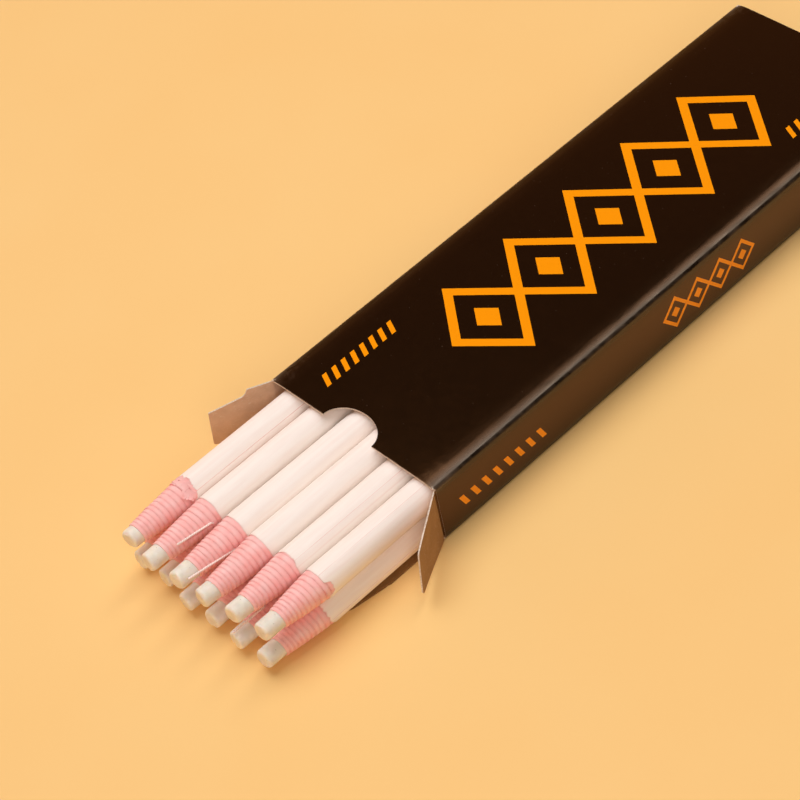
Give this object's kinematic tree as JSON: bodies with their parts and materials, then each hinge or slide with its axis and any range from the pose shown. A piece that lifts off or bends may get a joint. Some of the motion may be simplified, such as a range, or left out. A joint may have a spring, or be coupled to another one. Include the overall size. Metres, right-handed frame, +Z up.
{
  "type": "china marker pack",
  "caption": "Tuck end carton of paper-wrapped china markers, open at one end with the markers drawn out; markers slide, and lids, tongues and dust flaps fold on their creases.",
  "frame": {"origin": "centre of the carton's bottom face", "axes": "+Z up, +Y along the carton from the open end to the closed end, marker tips point along -Y"},
  "size_m": [0.0714, 0.2198, 0.0178],
  "materials": {
    "carton_board": "gloss laminated black print outside, plain brown board inside",
    "wax": "cast wax, slightly translucent",
    "wrap_paper": "dyed wound paper",
    "label_paper": "smooth coated paper",
    "cotton_thread": "twisted cotton"
  },
  "bodies": {
    "carton": {"carton_sleeve": "carton_board", "carton_glue_flap": "carton_board"},
    "front_lid": {"front_lid": "carton_board"},
    "front_tongue": {"front_tongue": "carton_board"},
    "front_flap_left": {"front_flap_left": "carton_board"},
    "front_flap_right": {"front_flap_right": "carton_board"},
    "rear_lid": {"rear_lid": "carton_board"},
    "rear_tongue": {"rear_tongue": "carton_board"},
    "rear_flap_left": {"rear_flap_left": "carton_board"},
    "rear_flap_right": {"rear_flap_right": "carton_board"},
    "marker_upper_1": {"upper_1_core": "wax", "upper_1_wrap": "wrap_paper", "upper_1_label": "label_paper", "upper_1_thread": "cotton_thread"},
    "marker_upper_2": {"upper_2_core": "wax", "upper_2_wrap": "wrap_paper", "upper_2_label": "label_paper", "upper_2_thread": "cotton_thread"},
    "marker_upper_3": {"upper_3_core": "wax", "upper_3_wrap": "wrap_paper", "upper_3_label": "label_paper", "upper_3_thread": "cotton_thread"},
    "marker_upper_4": {"upper_4_core": "wax", "upper_4_wrap": "wrap_paper", "upper_4_label": "label_paper", "upper_4_thread": "cotton_thread"},
    "marker_upper_5": {"upper_5_core": "wax", "upper_5_wrap": "wrap_paper", "upper_5_label": "label_paper", "upper_5_thread": "cotton_thread"},
    "marker_upper_6": {"upper_6_core": "wax", "upper_6_wrap": "wrap_paper", "upper_6_label": "label_paper", "upper_6_thread": "cotton_thread"},
    "marker_lower_1": {"lower_1_core": "wax", "lower_1_wrap": "wrap_paper", "lower_1_label": "label_paper", "lower_1_thread": "cotton_thread"},
    "marker_lower_2": {"lower_2_core": "wax", "lower_2_wrap": "wrap_paper", "lower_2_label": "label_paper", "lower_2_thread": "cotton_thread"},
    "marker_lower_3": {"lower_3_core": "wax", "lower_3_wrap": "wrap_paper", "lower_3_label": "label_paper", "lower_3_thread": "cotton_thread"},
    "marker_lower_4": {"lower_4_core": "wax", "lower_4_wrap": "wrap_paper", "lower_4_label": "label_paper", "lower_4_thread": "cotton_thread"},
    "marker_lower_5": {"lower_5_core": "wax", "lower_5_wrap": "wrap_paper", "lower_5_label": "label_paper", "lower_5_thread": "cotton_thread"},
    "marker_lower_6": {"lower_6_core": "wax", "lower_6_wrap": "wrap_paper", "lower_6_label": "label_paper", "lower_6_thread": "cotton_thread"}
  },
  "joints": [
    {"name": "marker_upper_1_slide", "type": "slide", "parent": "carton", "child": "marker_upper_1", "axis": [0, -1, 0], "range_m": [-0.0546, 0.1149]},
    {"name": "marker_upper_2_slide", "type": "slide", "parent": "carton", "child": "marker_upper_2", "axis": [0, -1, 0], "range_m": [-0.0562, 0.1133]},
    {"name": "marker_upper_3_slide", "type": "slide", "parent": "carton", "child": "marker_upper_3", "axis": [0, -1, 0], "range_m": [-0.0555, 0.114]},
    {"name": "marker_upper_4_slide", "type": "slide", "parent": "carton", "child": "marker_upper_4", "axis": [0, -1, 0], "range_m": [-0.0552, 0.1143]},
    {"name": "marker_upper_5_slide", "type": "slide", "parent": "carton", "child": "marker_upper_5", "axis": [0, -1, 0], "range_m": [-0.0539, 0.1156]},
    {"name": "marker_upper_6_slide", "type": "slide", "parent": "carton", "child": "marker_upper_6", "axis": [0, -1, 0], "range_m": [-0.0529, 0.1166]},
    {"name": "marker_lower_1_slide", "type": "slide", "parent": "carton", "child": "marker_lower_1", "axis": [0, -1, 0], "range_m": [-0.0538, 0.1157]},
    {"name": "marker_lower_2_slide", "type": "slide", "parent": "carton", "child": "marker_lower_2", "axis": [0, -1, 0], "range_m": [-0.0536, 0.1159]},
    {"name": "marker_lower_3_slide", "type": "slide", "parent": "carton", "child": "marker_lower_3", "axis": [0, -1, 0], "range_m": [-0.0551, 0.1144]},
    {"name": "marker_lower_4_slide", "type": "slide", "parent": "carton", "child": "marker_lower_4", "axis": [0, -1, 0], "range_m": [-0.0545, 0.115]},
    {"name": "marker_lower_5_slide", "type": "slide", "parent": "carton", "child": "marker_lower_5", "axis": [0, -1, 0], "range_m": [-0.0549, 0.1146]},
    {"name": "marker_lower_6_slide", "type": "slide", "parent": "carton", "child": "marker_lower_6", "axis": [0, -1, 0], "range_m": [-0.0544, 0.1151]},
    {"name": "front_lid_fold", "type": "hinge", "parent": "carton", "child": "front_lid", "pos_m": [0, -0.0837, 0.00017], "axis": [1, 0, 0], "range_deg": [0, 70]},
    {"name": "front_tongue_fold", "type": "hinge", "parent": "front_lid", "child": "front_tongue", "pos_m": [0, -0.1006, 0.00017], "axis": [1, 0, 0], "range_deg": [-35, 0]},
    {"name": "front_flap_left_fold", "type": "hinge", "parent": "carton", "child": "front_flap_left", "pos_m": [-0.02703, -0.0832, 0.0089], "axis": [0, 0, -1], "range_deg": [-26, 94]},
    {"name": "front_flap_right_fold", "type": "hinge", "parent": "carton", "child": "front_flap_right", "pos_m": [0.02703, -0.0832, 0.0089], "axis": [0, 0, 1], "range_deg": [-31, 89]},
    {"name": "rear_lid_fold", "type": "hinge", "parent": "carton", "child": "rear_lid", "pos_m": [0, 0.0837, 0.00017], "axis": [-1, 0, 0], "range_deg": [0, 75]},
    {"name": "rear_tongue_fold", "type": "hinge", "parent": "rear_lid", "child": "rear_tongue", "pos_m": [0, 0.0837, 0.01707], "axis": [-1, 0, 0], "range_deg": [-63.75, 0]},
    {"name": "rear_flap_left_fold", "type": "hinge", "parent": "carton", "child": "rear_flap_left", "pos_m": [-0.02703, 0.0832, 0.0089], "axis": [0, 0, -1], "range_deg": [0, 45]},
    {"name": "rear_flap_right_fold", "type": "hinge", "parent": "carton", "child": "rear_flap_right", "pos_m": [0.02703, 0.0832, 0.0089], "axis": [0, 0, 1], "range_deg": [0, 45]}
  ],
  "couplings": [
    {"joint": "front_tongue_fold", "follows": "front_lid_fold", "ratio": -0.5},
    {"joint": "rear_tongue_fold", "follows": "rear_lid_fold", "ratio": -0.85}
  ]
}
